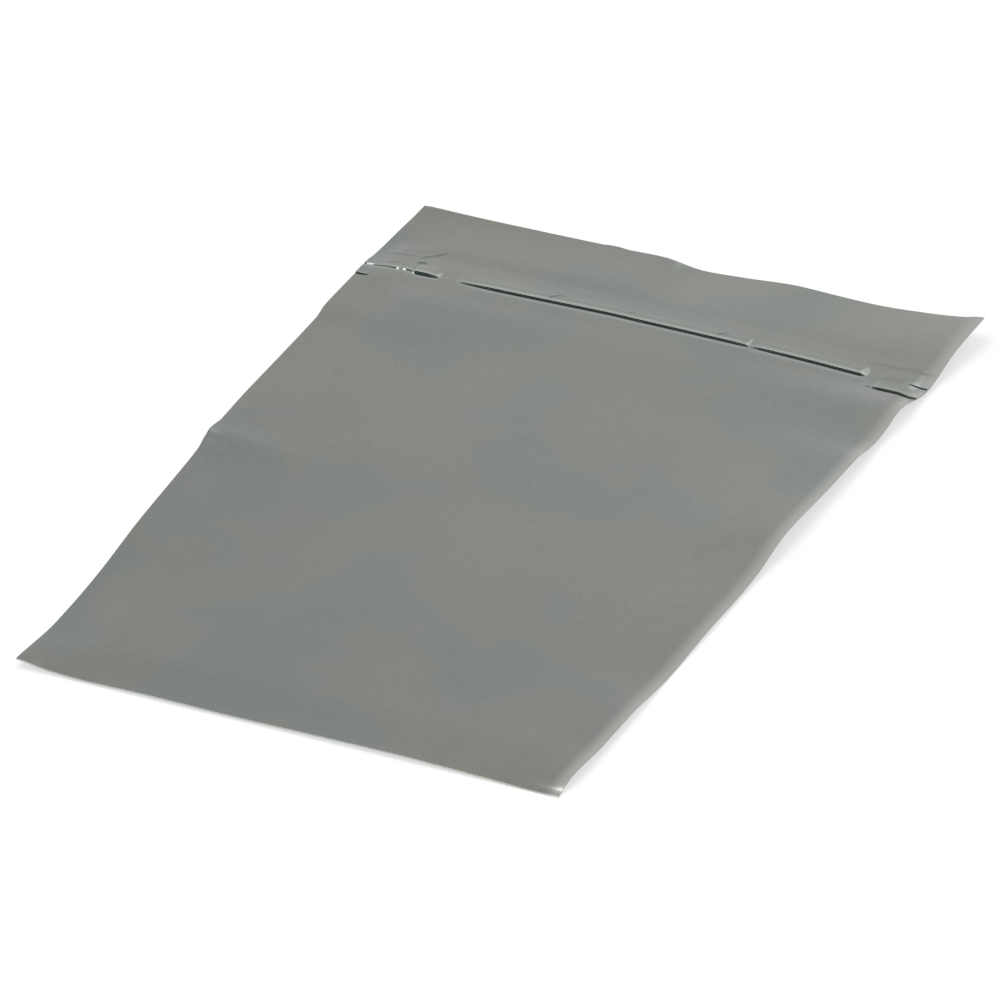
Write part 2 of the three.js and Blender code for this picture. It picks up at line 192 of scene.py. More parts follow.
leftRise, rightRise = curveThrough(lie["left"]), curveThrough(lie["right"])
foldRise, mouthRise = curveThrough(lie["fold"]), curveThrough(lie["mouth"])
leftDraw, rightDraw = curveThrough(lie["leftDraw"]), curveThrough(lie["rightDraw"])
mouthDraw = curveThrough(lie["mouthDraw"])
bridgeRise = curveThrough(lie["bridge"])
heightAcross = curveThrough(zipper["heightAcross"])
creasedAcross = curveThrough(zipper["creasedAcross"])
flangeAcross = curveThrough(zipper["flangeAcross"])
slipAcross, flangeSlip = curveThrough(zipper["slip"]), curveThrough(zipper["flangeSlip"])
zipY = bag["length"] / 2 - bag["lip"]
flangesApart = 2 * zipper["flange"] + 3 * zipper["seat"]


def plan(across, y):
    along = y / bag["length"] + 0.5
    left = -bag["width"] / 2 + leftDraw(along)
    right = bag["width"] / 2 - rightDraw(along)
    return left + (right - left) * across


def zipShift(across, nominal):  # how far a row is shifted, because the zip runs askew
    below = 1 - smooth(2 * zipper["flangeBelow"], zipper["skewReach"], zipY - nominal)
    above = 1 - smooth(1.5 * zipper["flangeAbove"], bag["lip"], nominal - zipY)
    x = (across - 0.5) * bag["width"]
    return (zipper["skew"] * x + slipAcross(x)) * below * above


def restHeight(across, y):  # underside of the back wall
    along = y / bag["length"] + 0.5

    def settle(distance):
        return np.maximum(1 - distance / lie["reach"], 0) ** 2

    nearLeft, nearRight = settle(across * bag["width"]), settle((1 - across) * bag["width"])
    nearFold, nearMouth = settle(along * bag["length"]), settle((1 - along) * bag["length"])
    sides = leftRise(along) * nearLeft + rightRise(along) * nearRight
    ends = foldRise(across) * nearFold + mouthRise(across) * nearMouth
    leftCorners = foldRise(0) * nearFold + mouthRise(0) * nearMouth
    rightCorners = foldRise(1) * nearFold + mouthRise(1) * nearMouth
    lying = np.maximum(sides + ends - nearLeft * leftCorners - nearRight * rightCorners, 0)
    zipLine = zipY + zipper["skew"] * (across - 0.5) * bag["width"]
    fromZip = (y - zipLine) / lie["bridgeReach"]
    return lying + bridgeRise(across) * np.maximum(1 - fromZip ** 2, 0) ** 2


def endShare(across):  # share of the room between the walls, which closes towards the welds
    return smooth(0, zipper["endReach"], np.minimum(across, 1 - across) * bag["width"] - bag["weld"])


# The film over the zip, in section: place from the zip's centre, where the film is drawn to
# where it is creased, and its share of the step's height. The step's face leans over a
# narrow tuck, as film does where it is creased along the bead.
zipSection = [
    (-1.95, -1.95, 0.0), (-1.62, -1.62, 0.0), (-1.30, -1.28, 0.0), (-1.08, -0.95, 0.0),
    (-1.03, -0.83, 0.01), (-0.99, -0.76, 0.05), (-0.97, -0.73, 0.14), (-0.95, -0.735, 0.28),
    (-0.93, -0.75, 0.50), (-0.91, -0.775, 0.72), (-0.89, -0.79, 0.88), (-0.875, -0.795, 0.945),
    (-0.86, -0.79, 0.98), (-0.84, -0.775, 1.0), (-0.80, -0.73, 1.012), (-0.70, -0.65, 1.02),
    (-0.50, -0.50, 1.035), (-0.20, -0.20, 1.05), (0.20, 0.20, 1.04), (0.60, 0.60, 1.0),
    (0.95, 0.95, 0.86), (1.35, 1.35, 0.68), (1.9, 1.9, 0.49), (2.9, 2.9, 0.28), (3.9, 3.9, 0.18),
    (4.6, 4.6, 0.14), (4.9, 4.9, 0.10), (5.3, 5.3, 0.04), (6.2, 6.2, 0.0),
]
flangeSection = [
    (-5.3, -5.3, 0.0), (-5.0, -4.9, 0.0), (-4.85, -4.66, 0.02), (-4.76, -4.56, 0.14),
    (-4.70, -4.56, 0.40), (-4.66, -4.60, 0.68), (-4.62, -4.64, 0.9), (-4.57, -4.63, 0.98),
    (-4.5, -4.55, 1.0), (-4.2, -4.25, 1.0), (-3.3, -3.3, 1.0), (-2.3, -2.3, 1.0),
    (0.75, 0.75, 0.96), (1.5, 1.5, 0.62), (2.9, 2.9, 0.28), (4.9, 4.9, 0.10), (6.2, 6.2, 0.0),
]
flangeRows = 12  # the ones that the zip's own rows don't repeat
zipRows = 23


def places(parts):  # places along a line, from (start, spacing) pairs, the last start as end
    found = []
    for (start, spacing), (end, _) in zip(parts[:-1], parts[1:]):
        count = max(int(math.ceil((end - start) / spacing)), 1)
        found += list(np.linspace(start, end, count, endpoint=False))
    return found + [parts[-1][0]]


# spacing of the film's mesh, finer where it is creased
filmMesh = {
    "columns": [
        (1.6, 0.28), (14.0, 0.8), (16.0, 0.25), (17.2, 1.8), (32.0, 0.25), (34.4, 1.9),
        (46.8, 0.3), (48.0, 1.9), (63.2, 0.25), (65.2, 1.2), (68.9, 0.2), (70.5, 1.8),
        (88.0, 0.33), (101.5, 1),
    ],
    "besideWelds": (1.3, 101.8),
    "body": 2.3,
    "foldEnd": 0.5,
    "overFlange": [(2.2, 0.26), (6.9, 0.9)],
    "sharpAngle": 65.0,
    "creaseStop": 2.0,  # the small creases fade out this far from a weld
}

# narrow ridges from handling: both ends, half width, height, and how much shade is painted along them
creases = [
    (-43.9, 63.9, -40.9, 66.9, 0.3, 0.1, 0.5), (-43.8, 62.1, -42.2, 62.4, 0.3, 0.17, 1.0),
    (-50.7, 62.9, -44.6, 64.2, 0.45, 0.06, 0.15), (-48.4, 59.7, -46.3, 60.9, 0.25, 0.05, 0.2),
    (-18.75, 60.3, -17.45, 61.8, 0.2, 0.05, 0.9), (-4.4, 60.9, -3.9, 61.8, 0.2, 0.04, 0.4),
    (12.0, 60.9, 13.1, 62.1, 0.2, 0.05, 0.7), (38.4, 64.4, 50.2, 64.6, 0.5, 0.08, 0.2),
    (41.7, 60.9, 45.7, 61.2, 0.35, 0.05, 0.2), (-42.2, 23.5, -39.6, 26.2, 0.5, 0.06, 0.1),
]


def filmColumns():
    width, weld = bag["width"], bag["weld"]
    left, right = filmMesh["besideWelds"]
    return np.array([0.0, weld, left] + places(filmMesh["columns"]) + [right, width - weld, width]) / width


def filmRows():
    half = bag["length"] / 2
    start, end = -half + bag["fold"], zipY + flangeSection[0][0] - 1.0
    body = places([(start, filmMesh["foldEnd"]), (start + 2, filmMesh["body"]), (end, 1)])
    section = [zipY + row[0] for row in flangeSection[:flangeRows] + zipSection[:zipRows]]
    above = [zipY + place for place in places(filmMesh["overFlange"] + [(bag["lip"], 1)])]
    return np.array([-half] + body + section + above)


def creaseMarks(x, y):  # height of the creases at a point, and how much shade is painted on them there
    height, creaseShade = np.zeros_like(x), np.zeros_like(x)
    for x0, y0, x1, y1, width, rise, mark in creases:
        length = math.hypot(x1 - x0, y1 - y0)
        ux, uy = (x1 - x0) / length, (y1 - y0) / length
        along = ((x - x0) * ux + (y - y0) * uy) / length
        aside = (x - x0) * uy - (y - y0) * ux
        near = np.exp(-((aside / width) ** 2))
        near *= smooth(-0.15, 0.15, along) * (1 - smooth(0.85, 1.15, along))
        height += rise * near
        creaseShade += mark * near
    return height, creaseShade


def gridNormals(grid):
    normal = np.cross(np.gradient(grid, axis=0), np.gradient(grid, axis=1))
    return normal / np.linalg.norm(normal, axis=2, keepdims=True)


def filmMarks(across, fromZip, creased, flange, creaseShade):  # where shade and highlights are painted on the film, and where it is lighter over the flange
    on = {}
    for name, (start, full, fading, end) in zipMarks.items():
        on[name] = smooth(start, full, fromZip) * (1 - smooth(fading, end, fromZip))
    flangeCrease = filmLook["flangeCrease"] * flange
    # painted shade on the step's face and on the flange's edge, where the film is creased
    creaseShade = creaseShade + np.sqrt(creased) * on["face"] + flangeCrease * on["flangeFace"]
    return {
        "creaseShade": np.clip(creaseShade, 0, 1),
        # painted highlights on the crest of the step and of the flange's edge, and at the foot of the step
        "crestHighlight": creased * on["crest"] + flangeCrease * on["flangeCrest"],
        "footHighlight": creased * on["footHighlight"],
        "overStrip": on["overStrip"],
        # painted sheen along the weld on the right
        "paintedSheen": 1 - smooth(0, filmLook["sheenReach"], (1 - across) * bag["width"]),
    }


def frontLayer(across, rows):  # outer skin of the front wall, and where shade and highlights are painted on it
    nominal = np.broadcast_to(rows, across.shape)
    fromZip = nominal - zipY
    zipPlace, zipDrawn, zipRise = np.array(zipSection).T
    flangePlace, flangeDrawn, flangeRise = np.array(flangeSection).T
    sharp = np.interp(fromZip, zipPlace, zipRise)
    gentle = zipper["gentleShare"] * smooth(zipper["gentleFrom"], zipper["gentleTo"], fromZip)
    gentle = np.where(fromZip < zipper["gentleTo"], gentle, sharp)
    x0 = plan(across, nominal)
    height, creased, flange = heightAcross(x0), creasedAcross(x0), flangeAcross(x0)
    rise = creased * sharp + (1 - creased) * gentle
    y = nominal + zipShift(across, nominal)
    y += creased * np.interp(fromZip, zipPlace, zipDrawn - zipPlace)
    y += np.clip(2 * flange, 0, 1) * np.interp(fromZip, flangePlace, flangeDrawn - flangePlace)
    y += flangeSlip(x0) * np.interp(fromZip, zipper["flangeSlipPlaces"], (0, 1, 1, 0))
    setback = 1 - smooth(bag["setbackTo"] - 0.04, bag["setbackTo"], across[:, -1])
    y[:, -1] -= bag["lipSetback"] * setback + mouthDraw(across[:, -1])
    y[:, 0] += bag["foldRounding"]

    fromWeld = np.minimum(across, 1 - across) * bag["width"] - bag["weld"]
    fromFold = nominal + bag["length"] / 2 - bag["fold"]
    opened = smooth(0, bag["pocketReach"], fromWeld) * smooth(0, bag["pocketReach"], fromFold)
    along = nominal / bag["length"] + 0.5
    wave = np.zeros_like(across)
    for a, b, phase, waveHeight in lie["waves"]:
        wave += waveHeight / 2 * (1 + np.sin(2 * math.pi * (a * across + b * along) + phase))
    towardsMouth = smooth(0, bag["lip"], fromZip)
    air = bag["pocketGap"] + (bag["lipGap"] - bag["pocketGap"]) * towardsMouth
    loose = (air + wave * (1 - towardsMouth)) * opened
    pastFlange = np.maximum(-fromZip - zipper["flangeBelow"], fromZip - zipper["flangeAbove"])
    onZip = 1 - smooth(0, zipper["flangeAbove"], np.maximum(pastFlange, 0))
    gap = flangesApart * onZip + loose * (1 - onZip)
    steps = zipper["step"] * (rise * height + np.interp(fromZip, flangePlace, flangeRise) * flange)
    parted = endShare(across) * (fromFold > 1e-6)
    gap = gap * parted + steps * (parted + (1 - parted) * zipper["inWeld"])
    x = plan(across, y)
    ridges, creaseShade = creaseMarks(x, y)
    z = restHeight(across, y) + 2 * bag["film"] + gap
    z += ridges * smooth(0, filmMesh["creaseStop"], fromWeld)
    marks = filmMarks(across, fromZip, creased, flange, creaseShade)
    # painted sheen: the lip gets lighter towards its right end, where it lifts
    marks["lifted"] = towardsMouth * (2 * across - 1)
    return np.stack([x, y, z], 2), marks


def filmFaces(index, crest):  # index holds each layer's grid of point numbers
    # the skins meet at the welds and the fold, so the front one takes the back one's points
    n = len(crest) - 1
    back, front = index["backOuter"], index["frontOuter"]
    meeting, inner = index["backInner"], index["frontInner"]
    inner[1, :] = meeting[1, :]
    inner[n - 1, :] = meeting[n - 1, :]
    inner[:, 1] = meeting[:, 1]

    quads = []

    def addQuads(a, b, c, d):
        quads.append(np.stack([np.ravel(a), np.ravel(b), np.ravel(c), np.ravel(d)], 1))

    def addSkin(grid):
        addQuads(grid[:-1, :-1], grid[1:, :-1], grid[1:, 1:], grid[:-1, 1:])

    addSkin(front)
    addSkin(back.T)
    addSkin(meeting[1:n, 1:])
    addSkin(inner[1:n, 1:].T)
    addQuads(back[0, 1:], back[0, :-1], front[0, :-1], front[0, 1:])
    addQuads(back[n, :-1], back[n, 1:], front[n, 1:], front[n, :-1])
    addQuads(back[:-1, 0], back[1:, 0], crest[1:], crest[:-1])
    addQuads(crest[:-1], crest[1:], front[1:, 0], front[:-1, 0])
    addQuads(back[2:n, -1], back[1:n - 1, -1], meeting[1:n - 1, -1], meeting[2:n, -1])
    addQuads(inner[2:n, -1], inner[1:n - 1, -1], front[1:n - 1, -1], front[2:n, -1])
    faces = np.concatenate(quads).tolist()
    faces.append([int(back[0, 0]), int(crest[0]), int(front[0, 0])])
    faces.append([int(back[n, 0]), int(front[n, 0]), int(crest[n])])
    # both walls close into the weld at the mouth
    for edge, near, facing in ((0, 1, 1), (n, n - 1, -1)):
        ring = [back[edge, -1], front[edge, -1], front[near, -1], meeting[near, -1], back[near, -1]]
        faces.append([int(v) for v in ring[::facing]])
    return faces


def buildFilm():
    columns, rows = filmColumns(), filmRows()
    across = columns[:, None] * np.ones((1, len(rows)))
    nominal = np.broadcast_to(rows, across.shape)
    film = bag["film"]
    backY = nominal + zipShift(across, nominal)
    backY[:, 0] += bag["foldRounding"]
    backY[:, -1] -= mouthDraw(columns)
    rest = restHeight(across, backY)
    backX = plan(across, backY)
    frontOuter, marks = frontLayer(across, rows)
    layers = {
        "backOuter": np.stack([backX, backY, rest], 2),
        "frontOuter": frontOuter,
        "backInner": np.stack([backX, backY, rest + film], 2),
        "frontInner": frontOuter - gridNormals(frontOuter) * film,
    }
    crestY = np.full(len(columns), -bag["length"] / 2)
    crestZ = restHeight(columns, crestY) + film
    crestPoints = np.stack([plan(columns, crestY), crestY, crestZ], 1)

    size = across.size
    index = {}
    for k, name in enumerate(layers):
        index[name] = k * size + np.arange(size).reshape(across.shape)
    crest = len(layers) * size + np.arange(len(columns))
    points = np.concatenate([p.reshape(-1, 3) for p in layers.values()] + [crestPoints])

    faces = filmFaces(index, crest)
    mesh = bpy.data.meshes.new("shielding_film")
    mesh.from_pydata((points * mm).tolist(), [], faces)
    for name, mark in marks.items():
        values = np.zeros(len(points))
        values[index["frontOuter"].ravel()] = mark.ravel()
        mesh.attributes.new(name, "FLOAT", "POINT").data.foreach_set("value", values)
    tidy = bmesh.new()
    tidy.from_mesh(mesh)
    bmesh.ops.delete(tidy, geom=[v for v in tidy.verts if not v.link_faces], context="VERTS")
    for face in tidy.faces:
        face.smooth = True
    tidy.to_mesh(mesh)
    tidy.free()
    mesh.set_sharp_from_angle(angle=math.radians(filmMesh["sharpAngle"]))
    piece = bpy.data.objects.new("shielding_film", mesh)
    bpy.context.scene.collection.objects.link(piece)
    print("film:", len(mesh.vertices), "points,", len(mesh.polygons), "faces")
    return piece


def toLinear(hexColor, alpha=1.0):
    parts = [int(hexColor[i:i + 2], 16) / 255 for i in (1, 3, 5)]
    return [c / 12.92 if c <= 0.04045 else ((c + 0.055) / 1.055) ** 2.4 for c in parts] + [alpha]


def addNode(tree, kind, settings=None, links=None):
    node = tree.nodes.new(kind)
    for key, value in (settings or {}).items():
        if isinstance(key, int) or key in node.inputs:
            node.inputs[key].default_value = value
        else:
            setattr(node, key, value)
    for key, source in (links or {}).items():
        tree.links.new(source, node.inputs[key])
    return node


def newMaterial(name):
    material = bpy.data.materials.new(name)
    material.use_nodes = True
    material.node_tree.nodes.clear()
    return material, material.node_tree


# Metallised polyester film over polyethylene, rolled and laminated: a grey, almost even
# sheen, with soft cool and warm patches where the laminate is a little thicker or thinner
filmLook = {
    "cool": "#7c8380",
    "warm": "#87857f",
    # colour and share where the mesh is marked
    "marked": {
        "overStrip": ("#8e918c", 0.25),  # more polyethylene lies behind the metal there
        "paintedSheen": ("#a6a8a4", 0.9),  # painted sheen along the weld on the right, where the film curls
        # painted highlight at the foot of the step
        "footHighlight": ("#939a99", 1.0),
        # painted highlight along the crest of the step
        "crestHighlight": ("#9ea6a0", 1.0),
        "creaseShade": ("#45514c", 1.0),  # painted shade in the sharp creases
    },
    "sheenReach": 3.2,  # mm
    "flangeCrease": 0.4,  # how strongly the painted shade and highlight mark the crease over the flange's edge
    "patch": 30.0,  # mm
    "grain": 0.7,  # mm
    "bump": 0.03,  # mm
    "roughness": 0.17,
    # darkest and lightest tone: painted shading across the bag and over the lip, and the film's own grain
    "acrossTone": (0.885, 1.085),
    "lipTone": (0.86, 1.14),
    "grainTone": (0.96, 1.04),
    # painted glints: white spots at the crushed end of the zip. Place across, place over the crease, radius
    # and brightness
    "glints": [
        (-50.9, -0.15, 0.32, 1.0), (-50.45, 0.0, 0.32, 1.0), (-50.1, 0.1, 0.25, 0.8),
        (-45.98, -0.2, 0.36, 1.0), (-44.88, -0.2, 0.38, 1.0), (-43.09, -0.25, 0.33, 0.7),
    ],
    "glintCore": 0.45,  # share of the radius that is fully bright
    "glintSquash": 1.3,  # glints are this much wider than they are long
}


def filmMaterial():
    material, tree = newMaterial("metallisedPolyesterFilm")
    coords = addNode(tree, "ShaderNodeTexCoord").outputs["Object"]
    patches = addNode(tree, "ShaderNodeTexNoise", {
        "Scale": 1 / (filmLook["patch"] * mm), "Detail": 2.0, "Roughness": 0.5,
    }, {"Vector": coords})
    hue = addNode(tree, "ShaderNodeValToRGB", None, {"Fac": patches.outputs["Fac"]})
    hue.color_ramp.elements[0].position = 0.3
    hue.color_ramp.elements[0].color = toLinear(filmLook["cool"])
    hue.color_ramp.elements[1].position = 0.7
    hue.color_ramp.elements[1].color = toLinear(filmLook["warm"])
    # painted shading: lighter towards the mouth and the right, and at the lip's right end where it lifts,
    # with a fine grain
    color = hue.outputs["Color"]
    grain = addNode(tree, "ShaderNodeTexNoise", {
        "Scale": 1 / (filmLook["grain"] * mm), "Detail": 2.0,
    }, {"Vector": coords})
    slope = addNode(tree, "ShaderNodeVectorMath", {
        "operation": "DOT_PRODUCT", 1: (3.3, 5.5, 0),
    }, {0: coords})
    lifted = addNode(tree, "ShaderNodeAttribute", {"attribute_name": "lifted"})
    for source, low, high, (least, most) in (
        (slope.outputs["Value"], -0.6, 0.6, filmLook["acrossTone"]),
        (lifted.outputs["Fac"], -1, 1, filmLook["lipTone"]),
        (grain.outputs["Fac"], 0.3, 0.7, filmLook["grainTone"]),
    ):
        tone = addNode(tree, "ShaderNodeMapRange", {
            "From Min": low, "From Max": high, "To Min": least, "To Max": most,
        }, {"Value": source})
        toned = addNode(tree, "ShaderNodeVectorMath", {"operation": "SCALE"},
                        {0: color, "Scale": tone.outputs[0]})
        color = toned.outputs[0]
    for name, (marked, share) in filmLook["marked"].items():
        mark = addNode(tree, "ShaderNodeAttribute", {"attribute_name": name})
        amount = addNode(tree, "ShaderNodeMath", {"operation": "MULTIPLY", 1: share},
                         {0: mark.outputs["Fac"]})
        mixed = addNode(tree, "ShaderNodeMix", {"data_type": "RGBA", 7: toLinear(marked)},
                        {0: amount.outputs[0], 6: color})
        color = mixed.outputs[2]

    # painted glints: white spots mixed into the film's colour
    squash = filmLook["glintSquash"]
    flat = addNode(tree, "ShaderNodeVectorMath", {"operation": "MULTIPLY", 1: (1, squash, 0)}, {0: coords})
    for place, over, radius, bright in filmLook["glints"]:
        across = place / bag["width"] + 0.5
        y = zipY + float(zipShift(across, zipY)) + zipper["creaseAt"] + over
        away = addNode(tree, "ShaderNodeVectorMath", {
            "operation": "DISTANCE", 1: (place * mm, squash * y * mm, 0),
        }, {0: flat.outputs[0]})
        near = addNode(tree, "ShaderNodeMapRange", {
            "From Min": filmLook["glintCore"] * radius * mm, "From Max": radius * mm,
            "To Min": bright, "To Max": 0,
        }, {"Value": away.outputs["Value"]})
        glint = addNode(tree, "ShaderNodeMix", {"data_type": "RGBA", 7: (1, 1, 1, 1)},
                        {0: near.outputs[0], 6: color})
        color = glint.outputs[2]
    bump = addNode(tree, "ShaderNodeBump", {"Strength": 0.1, "Distance": filmLook["bump"] * mm},
                   {"Height": grain.outputs["Fac"]})
    shader = addNode(tree, "ShaderNodeBsdfPrincipled", {
        "Metallic": 1.0, "Roughness": filmLook["roughness"],
    }, {"Base Color": color, "Normal": bump.outputs[0]})
    addNode(tree, "ShaderNodeOutputMaterial", None, {"Surface": shader.outputs[0]})
    return material


# Extruded low-density polyethylene: milky and smooth, with a soft gloss
stripLook = {
    "dense": "#c2c5bf",
    "milky": "#d2d4cf",
    "clouds": 2.5,  # mm
    "roughness": 0.35,
}


def stripMaterial():
    material, tree = newMaterial("extrudedPolyethylene")
    coords = addNode(tree, "ShaderNodeTexCoord").outputs["Object"]
    clouds = addNode(tree, "ShaderNodeTexNoise", {
        "Scale": 1 / (stripLook["clouds"] * mm), "Detail": 1.0,
    }, {"Vector": coords})
    hue = addNode(tree, "ShaderNodeValToRGB", None, {"Fac": clouds.outputs["Fac"]})
    hue.color_ramp.elements[0].color = toLinear(stripLook["dense"])
    hue.color_ramp.elements[1].color = toLinear(stripLook["milky"])
    shader = addNode(tree, "ShaderNodeBsdfPrincipled", {"Roughness": stripLook["roughness"], "IOR": 1.51},
                     {"Base Color": hue.outputs["Color"]})
    addNode(tree, "ShaderNodeOutputMaterial", None, {"Surface": shader.outputs[0]})
    return material


# Zip strips: each section is swept across the bag, follows how the film lies there, and is
# crushed where the film shows it crushed. A section's points are place from the zip's
# centre, height over the back wall, share of the profile's height and share of the film's step
strip = {
    "steps": 190,  # along its length
    "halfSpan": 5.0,  # the film's height is read this far to both sides of the zip
    "crushedShare": 0.06,  # height of the profile where it is crushed flat
    "risenShare": 0.76,  # and what it gains where it isn't
    "slope": [(0.75, 0.95), (1.5, 0.6), (2.9, 0.26)],  # the rib's flange follows the film
    "stepFoot": -0.66,  # inside the film's tuck
    "stepHead": -0.52,
}


def mirrored(half):
    return half + [[-place] + rest for place, *rest in reversed(half)]


def grooveSection():
    top, lipTop = zipper["flange"], zipper["height"] - zipper["endClearance"]
    inside = zipper["head"] / 2 + zipper["clearance"]
    outside = inside + zipper["wall"]
    mouth = zipper["stem"] / 2 + zipper["clearance"]
    hook = zipper["hook"]
    half = [
        [outside, top, 0, 0], [outside, top, lipTop - hook / 2, 0],
        [(outside + inside) / 2, top, lipTop, 0], [inside, top, lipTop, 0],
        [mouth, top, lipTop - hook / 2, 0], [mouth, top, lipTop - hook, 0],
        [inside, top, lipTop - hook, 0], [inside, top, 0, 0],
    ]
    below, above = -zipper["flangeBelow"], zipper["flangeAbove"]
    spread = [[p, 0, 0, 0] for p in np.linspace(below, above, 12)]
    return spread + [[above, top, 0, 0], [above / 2, top, 0, 0]] + mirrored(half) + [
        [below / 2, top, 0, 0], [below, top, 0, 0]]


def ribSection():
    top, height, clear = zipper["flange"], zipper["height"], zipper["clearance"]
    shoulder = zipper["hook"] + zipper["endClearance"] + clear
    stem, head, tip = zipper["stem"] / 2, zipper["head"] / 2, zipper["tip"] / 2
    half = [
        [stem, -top, 0, 1], [stem, -top, -shoulder, 1], [head, -top, -shoulder, 1],
        [head, -top, -shoulder - clear, 1], [tip, -top, zipper["endClearance"] - height, 1],
    ]
    stepFoot, stepHead = strip["stepFoot"], strip["stepHead"]
    below, above = -zipper["flangeBelow"], zipper["flangeAbove"]
    slope = strip["slope"] + [(above, 0.08)]
    roof = [[p, 0, 0, f] for p, f in reversed(slope)]
    roof += [[stepHead, 0, 0, 1], [stepFoot, 0, 0, 0], [below, 0, 0, 0]]
    under = [[below, -top, 0, 0], [stepFoot, -top, 0, 0], [stepHead, -top, 0, 1]]
    return roof + under + mirrored(half)[::-1] + [[p, -top, 0, f] for p, f in slope]


def sweepTree():
    tree = bpy.data.node_groups.new("zipStripSweep", "GeometryNodeTree")
    sockets = {}
    for name, kind in (
        ("Path", "NodeSocketGeometry"), ("Section", "NodeSocketObject"), ("Film", "NodeSocketFloat"),
        ("Seat", "NodeSocketFloat"), ("Half Span", "NodeSocketFloat"), ("Plastic", "NodeSocketMaterial"),
    ):
        sockets[name] = tree.interface.new_socket(name, in_out="INPUT", socket_type=kind).identifier
    tree.interface.new_socket("Strip", in_out="OUTPUT", socket_type="NodeSocketGeometry")
    given = addNode(tree, "NodeGroupInput").outputs
    line = addNode(tree, "GeometryNodeMeshToCurve", None, {"Mesh": given["Path"]})
    outline = addNode(tree, "GeometryNodeObjectInfo", None, {"Object": given["Section"]})
    ring = addNode(tree, "GeometryNodeMeshToCurve", None, {"Mesh": outline.outputs["Geometry"]})
    sweep = addNode(tree, "GeometryNodeCurveToMesh", {"Fill Caps": True},
                    {"Curve": line.outputs["Curve"], "Profile Curve": ring.outputs["Curve"]})

    terms = {
        "film": given["Film"],
        "seatHeight": given["Seat"],
        "halfSpan": given["Half Span"],
        "half": addNode(tree, "ShaderNodeMath", {0: 0.5, 1: 0.0}).outputs[0],
    }
    for name in (
        "pathX", "lineY", "restLow", "restMid", "restHigh", "stepShare", "profileShare", "endShare",
        "place", "height", "crushed", "follow",
    ):
        read = addNode(tree, "GeometryNodeInputNamedAttribute", {"data_type": "FLOAT", "Name": name})
        terms[name] = read.outputs["Attribute"]
    for result, operation, first, second in (
        ("y", "ADD", "lineY", "place"),
        # height of the back wall under a place, through three heights across the strip
        ("t", "DIVIDE", "place", "halfSpan"),
        ("rise", "SUBTRACT", "restHigh", "restLow"),
        ("tilt", "MULTIPLY", "rise", "half"),
        ("sum", "ADD", "restHigh", "restLow"),
        ("mean", "MULTIPLY", "sum", "half"),
        ("bend", "SUBTRACT", "mean", "restMid"),
        ("bent", "MULTIPLY", "bend", "t"),
        ("slope", "ADD", "tilt", "bent"),
        ("away", "MULTIPLY", "slope", "t"),
        ("rest", "ADD", "restMid", "away"),
        # the crushed profile, and the part of the strip that follows the film's step
        ("profile", "MULTIPLY", "crushed", "profileShare"),
        ("step", "MULTIPLY", "follow", "stepShare"),
        ("onBack", "ADD", "rest", "film"),
        ("lifted", "ADD", "seatHeight", "height"),
        ("whole", "ADD", "lifted", "profile"),
        ("thinned", "MULTIPLY", "whole", "endShare"),
        ("lower", "ADD", "onBack", "thinned"),
        ("z", "ADD", "lower", "step"),
    ):
        node = addNode(tree, "ShaderNodeMath", {"operation": operation}, {0: terms[first], 1: terms[second]})
        terms[result] = node.outputs[0]
    position = addNode(tree, "ShaderNodeCombineXYZ", None,
                       {"X": terms["pathX"], "Y": terms["y"], "Z": terms["z"]})
    placed = addNode(tree, "GeometryNodeSetPosition", None,
                     {"Geometry": sweep.outputs["Mesh"], "Position": position.outputs[0]})
    real = addNode(tree, "GeometryNodeRealizeInstances", None, {"Geometry": placed.outputs[0]})
    finished = addNode(tree, "GeometryNodeSetMaterial", None,
                       {"Geometry": real.outputs[0], "Material": given["Plastic"]})
    addNode(tree, "NodeGroupOutput", None, {"Strip": finished.outputs[0]})
    return tree, sockets


def lineMesh(name, points, closed, attributes):
    mesh = bpy.data.meshes.new(name)
    edges = [(k, k + 1) for k in range(len(points) - 1)]
    if closed:
        edges.append((len(points) - 1, 0))
    mesh.from_pydata(points, edges, [])
    for key, values in attributes.items():
        mesh.attributes.new(key, "FLOAT", "POINT").data.foreach_set("value", values)
    piece = bpy.data.objects.new(name, mesh)
    bpy.context.scene.collection.objects.link(piece)
    return piece


